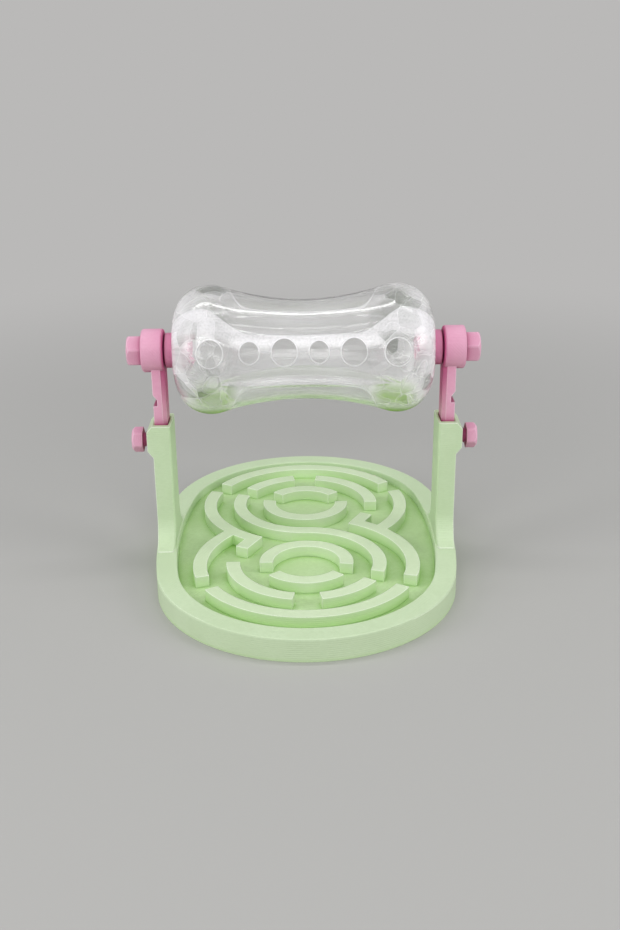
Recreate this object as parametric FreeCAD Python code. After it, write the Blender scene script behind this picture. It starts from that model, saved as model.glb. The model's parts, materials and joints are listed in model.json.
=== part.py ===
import FreeCAD, Part
import math
import os

# Pet puzzle feeder: an oval tray with a maze on its floor, two upright sockets on the rim,
# two posts that slide in them, and a clear roller that spins between the posts.
# All sizes are in millimetres. X runs across, along the roller. Y runs from the front of the
# tray to its back. Z is up. The origin is on the table, under the middle of the tray.

# Tray
TRAY_END_RADIUS = 83.8
TRAY_SIDE_BULGE = 3.4
TRAY_HALF_WIDTH = TRAY_END_RADIUS + TRAY_SIDE_BULGE
RIM_WIDTH = 11.8
RIM_HEIGHT = 13.0
RIM_EDGE_RADIUS = 0.7
FLOOR_HEIGHT = 7.5

# Maze walls
WALL_THICKNESS = 7.6
WALL_TOP = RIM_HEIGHT + 1.0
CHANNEL_WIDTH = 11.0
RIM_CHANNEL_WIDTH = 8.4
RING_PITCH = WALL_THICKNESS + CHANNEL_WIDTH
OUTER_RING_RADIUS = TRAY_END_RADIUS - RIM_WIDTH - RIM_CHANNEL_WIDTH - WALL_THICKNESS / 2
MIDDLE_RING_RADIUS = OUTER_RING_RADIUS - RING_PITCH
INNER_RING_RADIUS = MIDDLE_RING_RADIUS - RING_PITCH
# The two sets of rings stand this far to the front and back of the middle. The middle rings
# then touch at the origin, where they join in an S.
RING_CENTRE_Y = MIDDLE_RING_RADIUS

# Where each wall of the front set starts and ends, in degrees from +X, anticlockwise.
INNER_FAR_ANGLES = (-9.0, 182.0)
INNER_NEAR_ANGLES = (-142.0, -40.0)
MIDDLE_LEFT_ANGLES = (180.0, 259.8)
MIDDLE_RIGHT_ANGLES = (-79.8, -33.3)
OUTER_NEAR_ANGLES = (-149.4, -30.6)
RIGHT_GAP_ANGLE = -18.2
LEFT_GAP_ANGLE = 196.5
SPUR_ANGLE = 62.5
SPUR_REACH = 10.0

# Uprights: each foot stands a little inside both edges of the rim.
FOOT_OUTER_STEP = 0.7
FOOT_INNER_STEP = 0.5
UPRIGHT_OUTER_X = TRAY_HALF_WIDTH - FOOT_OUTER_STEP
UPRIGHT_INNER_X = TRAY_HALF_WIDTH - RIM_WIDTH + FOOT_INNER_STEP
UPRIGHT_HALF_DEPTH = 12.0
UPRIGHT_TOP = 84.7
UPRIGHT_EDGE_RADIUS = 1.4
FOOT_SWEEP_RADIUS = 16.0
FOOT_TOE_HEIGHT = 0.1
FOOT_INSET = 0.6
SWELLING_THICKNESS = 3.0
SWELLING_OUTER_X = UPRIGHT_OUTER_X + SWELLING_THICKNESS
SWELLING_LENGTH = 18.7
SWELLING_LOW = UPRIGHT_TOP - SWELLING_LENGTH
SWELLING_LOW_SLOPE = 3.9
SWELLING_HIGH_SLOPE = 3.5
SOCKET_INNER_WALL = 1.7
SOCKET_OUTER_WALL = 1.1
SOCKET_FLOOR = RIM_HEIGHT + 3.0
SOCKET_CLEARANCE = 0.3
SOCKET_MOUTH_CHAMFER = 0.5

# Posts
STEM_INNER_X = UPRIGHT_INNER_X + SOCKET_INNER_WALL + SOCKET_CLEARANCE
STEM_OUTER_X = UPRIGHT_OUTER_X - SOCKET_OUTER_WALL - SOCKET_CLEARANCE
STEM_HALF_DEPTH = 8.0
STEM_IN_SOCKET = 43.0
STEM_LOW = UPRIGHT_TOP - STEM_IN_SOCKET
STEM_INNER_CHAMFER = 2.2
EYE_RADIUS = 12.1
EYE_STEP = 5.1
EYE_OUTER_X = STEM_OUTER_X + EYE_STEP
EYE_EDGE_RADIUS = 1.4
EYE_BORE_CLEARANCE = 0.3
NOTCH_COUNT = 3
NOTCH_PITCH = 25.0
NOTCH_DEPTH = 2.3
NOTCH_RAMP_TOP = 4.0
NOTCH_RAMP_FOOT = 1.0
NOTCH_LEDGE = -2.5

# Height screws
HEIGHT_SCREW_BELOW_TOP = 11.5
HEIGHT_SCREW_Z = UPRIGHT_TOP - HEIGHT_SCREW_BELOW_TOP
HEIGHT_SCREW_RADIUS = 3.9
HEIGHT_SCREW_HOLE_CLEARANCE = 0.1
HEIGHT_SCREW_FLATS = 13.0
HEIGHT_SCREW_HEAD_GAP = 3.4
HEIGHT_SCREW_HEAD_LENGTH = 6.2
HEIGHT_SCREW_TIP_RADIUS = 1.9
HEIGHT_SCREW_TIP_LENGTH = 2.3
HEIGHT_SCREW_TURN = -14.0

# Plugs and axle bolts
PLUG_GAP = 0.8
PLUG_COLLAR_RADIUS = 9.8
PLUG_COLLAR_LENGTH = 5.1
PLUG_COLLAR_OUTER_X = STEM_INNER_X - PLUG_GAP
PLUG_BODY_RADIUS = 8.0
PLUG_BODY_LENGTH = 8.5
PLUG_BLIND_WALL = 2.0
PLUG_EDGE_CHAMFER = 0.5
AXLE_RADIUS = 5.0
AXLE_END_GAP = 0.5
AXLE_HEAD_GAP = 0.3
AXLE_HEAD_LENGTH = 7.9
AXLE_HEAD_FLATS = 16.0
AXLE_HEAD_TURN = 15.0
HEAD_CORNER_TRIM = 0.25
HEAD_END_CHAMFER = 1.4

# Roller
ROLLER_ABOVE_UPRIGHTS = 41.3
ROLLER_Z = UPRIGHT_TOP + ROLLER_ABOVE_UPRIGHTS
ROLLER_END_X = PLUG_COLLAR_OUTER_X - PLUG_COLLAR_LENGTH
LOBE_RADIUS = 36.0
LOBE_ROUNDING = 20.0
WAIST_RADIUS = 28.2
WALL = 2.2
END_WALL = 3.0
FLUTE_COUNT = 6
FLUTE_DEPTH = 1.6
FLUTE_END_MARGIN = 25.5
FLUTE_FLANK_ANGLE = 7.2
FLUTE_CUTTER_REACH = 14.0
END_BOSS_RADIUS = 12.0
END_BOSS_LENGTH = 7.5

# The row of holes faces the front, tipped up by this angle.
ROW_TILT = 11.7
BIG_HOLE_HALF_WIDTH = 6.8
BIG_HOLE_HALF_HEIGHT = 7.3
SMALL_HOLE_HALF_WIDTH = 5.2
SMALL_HOLE_HALF_HEIGHT = 5.9
LOBE_HOLE_FROM_END = 21.9
HOLE_PITCH = 18.7
WAIST_HOLE_COUNT = 4
FIRST_WAIST_HOLE_X = -29.2

# Cutters run past what they cut by this much.
CUT_MARGIN = 1.0
# Two lengths closer than this are the same.
SAME = 0.001

X_AXIS = FreeCAD.Vector(1, 0, 0)
Y_AXIS = FreeCAD.Vector(0, 1, 0)
Z_AXIS = FreeCAD.Vector(0, 0, 1)
ORIGIN = FreeCAD.Vector(0, 0, 0)
ROLLER_CENTRE = FreeCAD.Vector(0, 0, ROLLER_Z)


def vector(x, y, z):
    return FreeCAD.Vector(x, y, z)


def polygon_prism(points, length_vector):
    """Extrude a closed polygon along a vector."""
    wire = Part.makePolygon(points + [points[0]])
    return Part.Face(wire).extrude(length_vector)


def box_between(low, high):
    """A box from its low corner to its high corner."""
    size = high.sub(low)
    return Part.makeBox(size.x, size.y, size.z, low)


def x_cylinder(radius, x_start, x_end, height):
    """A cylinder along X, centred over the middle of the tray."""
    start = vector(x_start, 0, height)
    return Part.makeCylinder(radius, x_end - x_start, start, X_AXIS)


def mirrored(shape):
    """The same piece for the left side."""
    return shape.mirror(ORIGIN, X_AXIS)


def half_turned(shape):
    """The same walls for the back set of rings."""
    copy = shape.copy()
    copy.rotate(ORIGIN, Z_AXIS, 180)
    return copy


def save(node, solids):
    """Write one node's solids as a STEP file."""
    shape = solids[0]
    if len(solids) > 1:
        shape = Part.makeCompound(solids)
    shape.exportStep("parts/" + node + ".step")


# Tray outline: an oval of four arcs, two round ends and two long sides tangent to them.
def oval_wire(inset, height):
    half_width = TRAY_HALF_WIDTH - inset
    end_radius = TRAY_END_RADIUS - inset
    narrowing = half_width - end_radius
    side_centre_x = (narrowing ** 2 - RING_CENTRE_Y ** 2) / (2 * narrowing)
    side_radius = half_width - side_centre_x
    join_angle = math.atan2(RING_CENTRE_Y, -side_centre_x)
    join_x = side_centre_x + side_radius * math.cos(join_angle)
    join_y = side_radius * math.sin(join_angle)
    front_right = vector(join_x, -join_y, height)
    back_right = vector(join_x, join_y, height)
    back_left = vector(-join_x, join_y, height)
    front_left = vector(-join_x, -join_y, height)
    tip_y = RING_CENTRE_Y + end_radius
    right = Part.Arc(front_right, vector(half_width, 0, height), back_right)
    back = Part.Arc(back_right, vector(0, tip_y, height), back_left)
    left = Part.Arc(back_left, vector(-half_width, 0, height), front_left)
    front = Part.Arc(front_left, vector(0, -tip_y, height), front_right)
    return Part.Wire([arc.toShape() for arc in (right, back, left, front)])


def oval_prism(inset, low, high):
    face = Part.Face(oval_wire(inset, low))
    return face.extrude(vector(0, 0, high - low))


def edges_at_height(shape, height):
    """The edges that lie wholly in one level plane."""
    found = []
    for edge in shape.Edges:
        box = edge.BoundBox
        if abs(box.ZMin - height) < SAME and abs(box.ZMax - height) < SAME:
            found.append(edge)
    return found


def make_rim():
    outside = oval_prism(0, 0, RIM_HEIGHT)
    inside = oval_prism(RIM_WIDTH, 0, RIM_HEIGHT)
    rim = outside.cut(inside)
    return rim.makeFillet(RIM_EDGE_RADIUS, edges_at_height(rim, RIM_HEIGHT))


def make_floor():
    return oval_prism(RIM_WIDTH, 0, FLOOR_HEIGHT)


# Maze walls
def ring_point(radius, degrees, centre_y):
    angle = math.radians(degrees)
    x = radius * math.cos(angle)
    y = centre_y + radius * math.sin(angle)
    return vector(x, y, FLOOR_HEIGHT)


def ring_wall(radius, start, end, centre_y):
    """A curved wall that stands on the floor, square at both ends."""
    outer = radius + WALL_THICKNESS / 2
    inner = radius - WALL_THICKNESS / 2
    middle = (start + end) / 2
    outer_start = ring_point(outer, start, centre_y)
    outer_end = ring_point(outer, end, centre_y)
    inner_start = ring_point(inner, start, centre_y)
    inner_end = ring_point(inner, end, centre_y)
    outer_arc = Part.Arc(outer_start, ring_point(outer, middle, centre_y), outer_end).toShape()
    inner_arc = Part.Arc(inner_end, ring_point(inner, middle, centre_y), inner_start).toShape()
    end_cap = Part.makeLine(outer_end, inner_end)
    start_cap = Part.makeLine(inner_start, outer_start)
    wire = Part.Wire([outer_arc, end_cap, inner_arc, start_cap])
    return Part.Face(wire).extrude(vector(0, 0, WALL_TOP - FLOOR_HEIGHT))


def make_inner_walls():
    far = ring_wall(INNER_RING_RADIUS, *INNER_FAR_ANGLES, -RING_CENTRE_Y)
    near = ring_wall(INNER_RING_RADIUS, *INNER_NEAR_ANGLES, -RING_CENTRE_Y)
    return [far, near]


def make_middle_walls():
    left = ring_wall(MIDDLE_RING_RADIUS, *MIDDLE_LEFT_ANGLES, -RING_CENTRE_Y)
    right = ring_wall(MIDDLE_RING_RADIUS, *MIDDLE_RIGHT_ANGLES, -RING_CENTRE_Y)
    return [left, right]


def make_s_wall():
    """Half of the front middle ring runs on into half of the back one."""
    front = ring_wall(MIDDLE_RING_RADIUS, RIGHT_GAP_ANGLE, 90, -RING_CENTRE_Y)
    back = half_turned(front)
    return front.fuse(back).removeSplitter()


def make_spur():
    """The straight end of a side wall: it turns outward from the front set's centre."""
    along = vector(math.cos(math.radians(SPUR_ANGLE)), math.sin(math.radians(SPUR_ANGLE)), 0)
    across = vector(along.y, -along.x, 0)
    centre = vector(0, -RING_CENTRE_Y, FLOOR_HEIGHT)
    inner = OUTER_RING_RADIUS - WALL_THICKNESS / 2
    outer = OUTER_RING_RADIUS + WALL_THICKNESS / 2 + SPUR_REACH
    near_left = centre + along * inner
    far_left = centre + along * outer
    far_right = far_left + across * WALL_THICKNESS
    near_right = near_left + across * WALL_THICKNESS
    points = [near_left, far_left, far_right, near_right]
    return polygon_prism(points, vector(0, 0, WALL_TOP - FLOOR_HEIGHT))


def make_side_wall():
    """The outer rings of both sets cross on the right and stay joined as one wall."""
    front = ring_wall(OUTER_RING_RADIUS, RIGHT_GAP_ANGLE, SPUR_ANGLE, -RING_CENTRE_Y)
    crossing = -math.degrees(math.acos(RING_CENTRE_Y / OUTER_RING_RADIUS))
    crossing_angle = -90 - crossing
    back = ring_wall(OUTER_RING_RADIUS, crossing_angle, LEFT_GAP_ANGLE - 180, RING_CENTRE_Y)
    return front.fuse([back, make_spur()]).removeSplitter()


def make_near_wall():
    return ring_wall(OUTER_RING_RADIUS, *OUTER_NEAR_ANGLES, -RING_CENTRE_Y)


# Uprights
def make_upright_body():
    """The side outline: straight to the top, swept out to the front and back at the foot."""
    foot_end = UPRIGHT_HALF_DEPTH + FOOT_SWEEP_RADIUS
    sweep_centre_z = RIM_HEIGHT + FOOT_SWEEP_RADIUS
    toe_drop = FOOT_SWEEP_RADIUS - FOOT_TOE_HEIGHT
    toe_y = foot_end - math.sqrt(FOOT_SWEEP_RADIUS ** 2 - toe_drop ** 2)
    toe_z = RIM_HEIGHT + FOOT_TOE_HEIGHT
    toe_angle = math.acos((foot_end - toe_y) / FOOT_SWEEP_RADIUS)
    middle_y = foot_end - FOOT_SWEEP_RADIUS * math.cos(toe_angle / 2)
    middle_z = sweep_centre_z - FOOT_SWEEP_RADIUS * math.sin(toe_angle / 2)
    inner_x = UPRIGHT_INNER_X

    def sweep(side):
        start = vector(inner_x, side * toe_y, toe_z)
        middle = vector(inner_x, side * middle_y, middle_z)
        end = vector(inner_x, side * UPRIGHT_HALF_DEPTH, sweep_centre_z)
        return start, middle, end

    back_toe, back_middle, back_top = sweep(1)
    front_toe, front_middle, front_top = sweep(-1)
    back_corner = vector(inner_x, UPRIGHT_HALF_DEPTH, UPRIGHT_TOP)
    front_corner = vector(inner_x, -UPRIGHT_HALF_DEPTH, UPRIGHT_TOP)
    back_base = vector(inner_x, toe_y, RIM_HEIGHT)
    front_base = vector(inner_x, -toe_y, RIM_HEIGHT)
    wire = Part.Wire([
        Part.makeLine(back_base, back_toe),
        Part.Arc(back_toe, back_middle, back_top).toShape(),
        Part.makeLine(back_top, back_corner),
        Part.makeLine(back_corner, front_corner),
        Part.makeLine(front_corner, front_top),
        Part.Arc(front_top, front_middle, front_toe).toShape(),
        Part.makeLine(front_toe, front_base),
        Part.makeLine(front_base, back_base),
    ])
    width = UPRIGHT_OUTER_X - UPRIGHT_INNER_X
    body = Part.Face(wire).extrude(vector(width, 0, 0))
    return body.common(oval_prism(FOOT_INSET, 0, UPRIGHT_TOP))


def make_swelling():
    """The thicker wall at the top of the upright that the height screw passes through."""
    root_x = UPRIGHT_OUTER_X - FOOT_INSET
    front = -UPRIGHT_HALF_DEPTH
    points = [
        vector(root_x, front, SWELLING_LOW),
        vector(UPRIGHT_OUTER_X, front, SWELLING_LOW),
        vector(SWELLING_OUTER_X, front, SWELLING_LOW + SWELLING_LOW_SLOPE),
        vector(SWELLING_OUTER_X, front, UPRIGHT_TOP - SWELLING_HIGH_SLOPE),
        vector(UPRIGHT_OUTER_X, front, UPRIGHT_TOP),
        vector(root_x, front, UPRIGHT_TOP),
    ]
    return polygon_prism(points, vector(0, 2 * UPRIGHT_HALF_DEPTH, 0))


def inner_corner_edges(upright):
    """The two long upright edges on the side that faces the tray's middle."""
    found = []
    for edge in upright.Edges:
        box = edge.BoundBox
        vertical = box.XLength < SAME and box.YLength < SAME
        inner = abs(box.XMin - UPRIGHT_INNER_X) < SAME
        at_corner = abs(abs(box.YMin) - UPRIGHT_HALF_DEPTH) < SAME
        if vertical and inner and at_corner:
            found.append(edge)
    return found


def cut_socket(upright):
    """Cut the slot that the post slides in, with a small chamfer round its mouth."""
    inner_x = STEM_INNER_X - SOCKET_CLEARANCE
    outer_x = STEM_OUTER_X + SOCKET_CLEARANCE
    half_depth = STEM_HALF_DEPTH + SOCKET_CLEARANCE
    low = vector(inner_x, -half_depth, SOCKET_FLOOR)
    high = vector(outer_x, half_depth, UPRIGHT_TOP)
    upright = upright.cut(box_between(low, high))
    mouth = []
    for edge in edges_at_height(upright, UPRIGHT_TOP):
        box = edge.BoundBox
        inside_x = box.XMin > inner_x - SAME and box.XMax < outer_x + SAME
        inside_y = box.YMin > -half_depth - SAME and box.YMax < half_depth + SAME
        if inside_x and inside_y:
            mouth.append(edge)
    return upright.makeChamfer(SOCKET_MOUTH_CHAMFER, mouth)


def make_upright():
    upright = make_upright_body().fuse(make_swelling()).removeSplitter()
    upright = upright.makeFillet(UPRIGHT_EDGE_RADIUS, inner_corner_edges(upright))
    upright = cut_socket(upright)
    hole_radius = HEIGHT_SCREW_RADIUS + HEIGHT_SCREW_HOLE_CLEARANCE
    hole = x_cylinder(hole_radius, STEM_OUTER_X, SWELLING_OUTER_X + CUT_MARGIN, HEIGHT_SCREW_Z)
    return upright.cut(hole)


# Posts
def make_stem():
    """A flat bar with its two inner corners cut back."""
    inner_step = STEM_HALF_DEPTH - STEM_INNER_CHAMFER
    points = [
        vector(STEM_OUTER_X, -STEM_HALF_DEPTH, STEM_LOW),
        vector(STEM_OUTER_X, STEM_HALF_DEPTH, STEM_LOW),
        vector(STEM_INNER_X + STEM_INNER_CHAMFER, STEM_HALF_DEPTH, STEM_LOW),
        vector(STEM_INNER_X, inner_step, STEM_LOW),
        vector(STEM_INNER_X, -inner_step, STEM_LOW),
        vector(STEM_INNER_X + STEM_INNER_CHAMFER, -STEM_HALF_DEPTH, STEM_LOW),
    ]
    return polygon_prism(points, vector(0, 0, ROLLER_Z - STEM_LOW))


def make_notch(height):
    """A saw-tooth notch across the outer face: a ramp above and a ledge below."""
    front = -STEM_HALF_DEPTH - CUT_MARGIN
    floor_x = STEM_OUTER_X - NOTCH_DEPTH
    outside_x = STEM_OUTER_X + CUT_MARGIN
    points = [
        vector(STEM_OUTER_X, front, height + NOTCH_RAMP_TOP),
        vector(floor_x, front, height + NOTCH_RAMP_FOOT),
        vector(floor_x, front, height + NOTCH_LEDGE),
        vector(outside_x, front, height + NOTCH_LEDGE),
        vector(outside_x, front, height + NOTCH_RAMP_TOP),
    ]
    return polygon_prism(points, vector(0, -2 * front, 0))


def make_eye():
    """The round eye at the top of the post, with both rims rounded."""
    eye = x_cylinder(EYE_RADIUS, STEM_INNER_X, EYE_OUTER_X, ROLLER_Z)
    rims = [edge for edge in eye.Edges if edge.BoundBox.XLength < SAME]
    return eye.makeFillet(EYE_EDGE_RADIUS, rims)


def make_post():
    post = make_stem().fuse(make_eye()).removeSplitter()
    bore_radius = AXLE_RADIUS + EYE_BORE_CLEARANCE
    bore_start = STEM_INNER_X - CUT_MARGIN
    bore_end = EYE_OUTER_X + CUT_MARGIN
    post = post.cut(x_cylinder(bore_radius, bore_start, bore_end, ROLLER_Z))
    lowest = HEIGHT_SCREW_Z - NOTCH_PITCH * (NOTCH_COUNT // 2)
    for number in range(NOTCH_COUNT):
        post = post.cut(make_notch(lowest + number * NOTCH_PITCH))
    return post


# Screws and bolts
def make_hex_head(flats, inner_x, outer_x, height, turn):
    """A hexagonal head along X with trimmed corners and a chamfered end."""
    corner_radius = flats / math.sqrt(3)
    points = []
    for number in range(6):
        angle = math.radians(turn + 60 * number)
        y = -corner_radius * math.cos(angle)
        z = height + corner_radius * math.sin(angle)
        points.append(vector(inner_x, y, z))
    prism = polygon_prism(points, vector(outer_x - inner_x, 0, 0))
    turned = x_cylinder(corner_radius - HEAD_CORNER_TRIM, inner_x, outer_x, height)
    end_rim = [edge for edge in turned.Edges if abs(edge.BoundBox.XMin - outer_x) < SAME]
    turned = turned.makeChamfer(HEAD_END_CHAMFER, end_rim)
    return prism.common(turned)


def make_height_screw():
    head_x = SWELLING_OUTER_X + HEIGHT_SCREW_HEAD_GAP
    head = make_hex_head(HEIGHT_SCREW_FLATS, head_x, head_x + HEIGHT_SCREW_HEAD_LENGTH,
                         HEIGHT_SCREW_Z, HEIGHT_SCREW_TURN)
    tip_x = STEM_OUTER_X + SOCKET_CLEARANCE
    shank_x = tip_x + HEIGHT_SCREW_TIP_LENGTH
    shank = x_cylinder(HEIGHT_SCREW_RADIUS, shank_x, head_x, HEIGHT_SCREW_Z)
    tip = Part.makeCone(HEIGHT_SCREW_TIP_RADIUS, HEIGHT_SCREW_RADIUS, HEIGHT_SCREW_TIP_LENGTH,
                        vector(tip_x, 0, HEIGHT_SCREW_Z), X_AXIS)
    return head.fuse([shank, tip]).removeSplitter()


def make_axle_bolt():
    head_x = EYE_OUTER_X + AXLE_HEAD_GAP
    head = make_hex_head(AXLE_HEAD_FLATS, head_x, head_x + AXLE_HEAD_LENGTH,
                         ROLLER_Z, AXLE_HEAD_TURN)
    inner_x = ROLLER_END_X - PLUG_BODY_LENGTH + PLUG_BLIND_WALL + AXLE_END_GAP
    shank = x_cylinder(AXLE_RADIUS, inner_x, head_x, ROLLER_Z)
    return head.fuse(shank).removeSplitter()


def make_plug():
    collar = x_cylinder(PLUG_COLLAR_RADIUS, ROLLER_END_X, PLUG_COLLAR_OUTER_X, ROLLER_Z)
    rims = [edge for edge in collar.Edges if edge.BoundBox.XLength < SAME]
    collar = collar.makeChamfer(PLUG_EDGE_CHAMFER, rims)
    body_x = ROLLER_END_X - PLUG_BODY_LENGTH
    body = x_cylinder(PLUG_BODY_RADIUS, body_x, PLUG_COLLAR_OUTER_X, ROLLER_Z)
    bore = x_cylinder(AXLE_RADIUS, body_x + PLUG_BLIND_WALL, PLUG_COLLAR_OUTER_X, ROLLER_Z)
    return collar.fuse(body).removeSplitter().cut(bore)


# Roller
def waist_arc_radius(waist, lobe_rounding):
    """The radius of the waist's arc when it runs tangent into both lobes."""
    lobe_x = ROLLER_END_X - LOBE_ROUNDING
    rise = waist - (LOBE_RADIUS - LOBE_ROUNDING)
    return (lobe_x ** 2 + rise ** 2 - lobe_rounding ** 2) / (2 * (lobe_rounding - rise))


def dumbbell(inset, end_x):
    """A solid dumbbell: two rounded lobes and a concave waist, spun about the roller's axis."""
    rounding = LOBE_ROUNDING - inset
    waist = WAIST_RADIUS - inset
    lobe_x = ROLLER_END_X - LOBE_ROUNDING
    lobe_height = LOBE_RADIUS - LOBE_ROUNDING
    waist_arc = waist_arc_radius(waist, rounding)
    share = waist_arc / (waist_arc + rounding)
    join_x = lobe_x * share
    join_height = waist + waist_arc + (lobe_height - waist - waist_arc) * share
    end_height = lobe_height + math.sqrt(rounding ** 2 - (end_x - lobe_x) ** 2)
    start_angle = math.atan2(join_height - lobe_height, join_x - lobe_x)
    end_angle = math.atan2(end_height - lobe_height, end_x - lobe_x)
    crown = (start_angle + end_angle) / 2
    crown_x = lobe_x + rounding * math.cos(crown)
    crown_height = lobe_height + rounding * math.sin(crown)

    def point(x, radius):
        return vector(x, 0, ROLLER_Z + radius)

    right_lobe = Part.Arc(point(join_x, join_height), point(crown_x, crown_height),
                          point(end_x, end_height)).toShape()
    left_lobe = Part.Arc(point(-end_x, end_height), point(-crown_x, crown_height),
                         point(-join_x, join_height)).toShape()
    waist_curve = Part.Arc(point(-join_x, join_height), point(0, waist),
                           point(join_x, join_height)).toShape()
    right_end = Part.makeLine(point(end_x, end_height), point(end_x, 0))
    axis_line = Part.makeLine(point(end_x, 0), point(-end_x, 0))
    left_end = Part.makeLine(point(-end_x, 0), point(-end_x, end_height))
    wire = Part.Wire([left_end, left_lobe, waist_curve, right_lobe, right_end, axis_line])
    return Part.Face(wire).revolve(ROLLER_CENTRE, X_AXIS, 360)


def surface_radius_at(x):
    """The dumbbell's outer radius on its waist arc."""
    arc = waist_arc_radius(WAIST_RADIUS, LOBE_ROUNDING)
    return WAIST_RADIUS + arc - math.sqrt(arc ** 2 - x ** 2)


def flute_cutter(inset, turn):
    """Two cones, base to base. Their edge cuts one long pointed flute with a V-shaped floor."""
    half_length = ROLLER_END_X - FLUTE_END_MARGIN
    bottom_radius = WAIST_RADIUS - FLUTE_DEPTH
    rise = surface_radius_at(half_length) - bottom_radius
    bottom_arc = (half_length ** 2 + rise ** 2) / (2 * rise)
    centre = vector(0, 0, ROLLER_Z + bottom_radius + bottom_arc)
    base = bottom_arc + inset
    top = base - FLUTE_CUTTER_REACH * math.tan(math.radians(FLUTE_FLANK_ANGLE))
    back_cone = Part.makeCone(base, top, FLUTE_CUTTER_REACH, centre, Y_AXIS)
    front_cone = Part.makeCone(base, top, FLUTE_CUTTER_REACH, centre, -Y_AXIS)
    cutter = back_cone.fuse(front_cone)
    cutter.rotate(ROLLER_CENTRE, X_AXIS, turn)
    return cutter


def row_turn():
    """How far the hole row is turned about the axle from straight up."""
    return 90 - ROW_TILT


def flute_turn(number):
    """Flutes lie midway between the raised bands, and the hole row runs along one of the bands."""
    return row_turn() + 360 / FLUTE_COUNT * (number + 0.5)


def hole_cutter(x, half_width, half_height, turn):
    """An oval bar that points straight out from the axle."""
    start_z = ROLLER_Z + END_BOSS_RADIUS + CUT_MARGIN
    end_z = ROLLER_Z + LOBE_RADIUS + CUT_MARGIN
    base = vector(x, 0, start_z)
    along = vector(x + half_width, 0, start_z)
    around = vector(x, half_height, start_z)
    ellipse = Part.Ellipse(around, along, base)
    face = Part.Face(Part.Wire([ellipse.toShape()]))
    cutter = face.extrude(vector(0, 0, end_z - start_z))
    cutter.rotate(ROLLER_CENTRE, X_AXIS, turn)
    return cutter


def hole_row():
    """One big hole on each lobe, and small and big holes in turn along the waist."""
    turn = row_turn()
    cutters = []
    lobe_hole_x = ROLLER_END_X - LOBE_HOLE_FROM_END
    for x in (-lobe_hole_x, lobe_hole_x):
        cutters.append(hole_cutter(x, BIG_HOLE_HALF_WIDTH, BIG_HOLE_HALF_HEIGHT, turn))
    for number in range(WAIST_HOLE_COUNT):
        x = FIRST_WAIST_HOLE_X + number * HOLE_PITCH
        if number % 2 == 0:
            cutters.append(hole_cutter(x, SMALL_HOLE_HALF_WIDTH, SMALL_HOLE_HALF_HEIGHT, turn))
        else:
            cutters.append(hole_cutter(x, BIG_HOLE_HALF_WIDTH, BIG_HOLE_HALF_HEIGHT, turn))
    return cutters


def end_boss():
    """The thicker ring inside one end that the plug screws into."""
    return x_cylinder(END_BOSS_RADIUS, ROLLER_END_X - END_BOSS_LENGTH, ROLLER_END_X - END_WALL,
                      ROLLER_Z)


def make_roller():
    outside = dumbbell(0, ROLLER_END_X)
    inside = dumbbell(WALL, ROLLER_END_X - END_WALL)
    outside_flutes = [flute_cutter(0, flute_turn(n)) for n in range(FLUTE_COUNT)]
    inside_flutes = [flute_cutter(WALL, flute_turn(n)) for n in range(FLUTE_COUNT)]
    shell = outside.cut(outside_flutes).cut(inside.cut(inside_flutes))
    shell = shell.fuse([end_boss(), mirrored(end_boss())])
    end_x = ROLLER_END_X + CUT_MARGIN
    plug_hole = x_cylinder(PLUG_BODY_RADIUS, -end_x, end_x, ROLLER_Z)
    return shell.cut([plug_hole] + hole_row())


def build():
    save("tray_rim", [make_rim()])
    save("tray_floor", [make_floor()])

    save("maze_inner_front", make_inner_walls())
    save("maze_inner_back", [half_turned(wall) for wall in make_inner_walls()])
    save("maze_middle_front", make_middle_walls())
    save("maze_middle_back", [half_turned(wall) for wall in make_middle_walls()])
    save("maze_s_wall", [make_s_wall()])
    save("maze_outer_right", [make_side_wall()])
    save("maze_outer_left", [half_turned(make_side_wall())])
    save("maze_outer_front", [make_near_wall()])
    save("maze_outer_back", [half_turned(make_near_wall())])

    pairs = {
        "upright": make_upright(),
        "post": make_post(),
        "height_screw": make_height_screw(),
        "end_plug": make_plug(),
        "axle_bolt": make_axle_bolt(),
    }
    for name, right_piece in pairs.items():
        save(name + "_right", [right_piece])
        save(name + "_left", [mirrored(right_piece)])

    save("roller", [make_roller()])


build()
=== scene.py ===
"""Looks for the pet puzzle feeder: a printed maze tray, its uprights and posts, and a clear roller.

The frame's nodes carry every rigid shape. This script dresses each of them as the printed plastic
that it is, adds the small threads that show between heads and uprights, and sets up the studio.
All lengths are in metres, in the frame's own axes: X along the roller, Y from front to back, Z up.
"""

import json
import logging
import math
from dataclasses import dataclass, replace
from enum import Enum
from typing import Any

import bmesh
import bpy
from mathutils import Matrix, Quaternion, Vector

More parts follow.
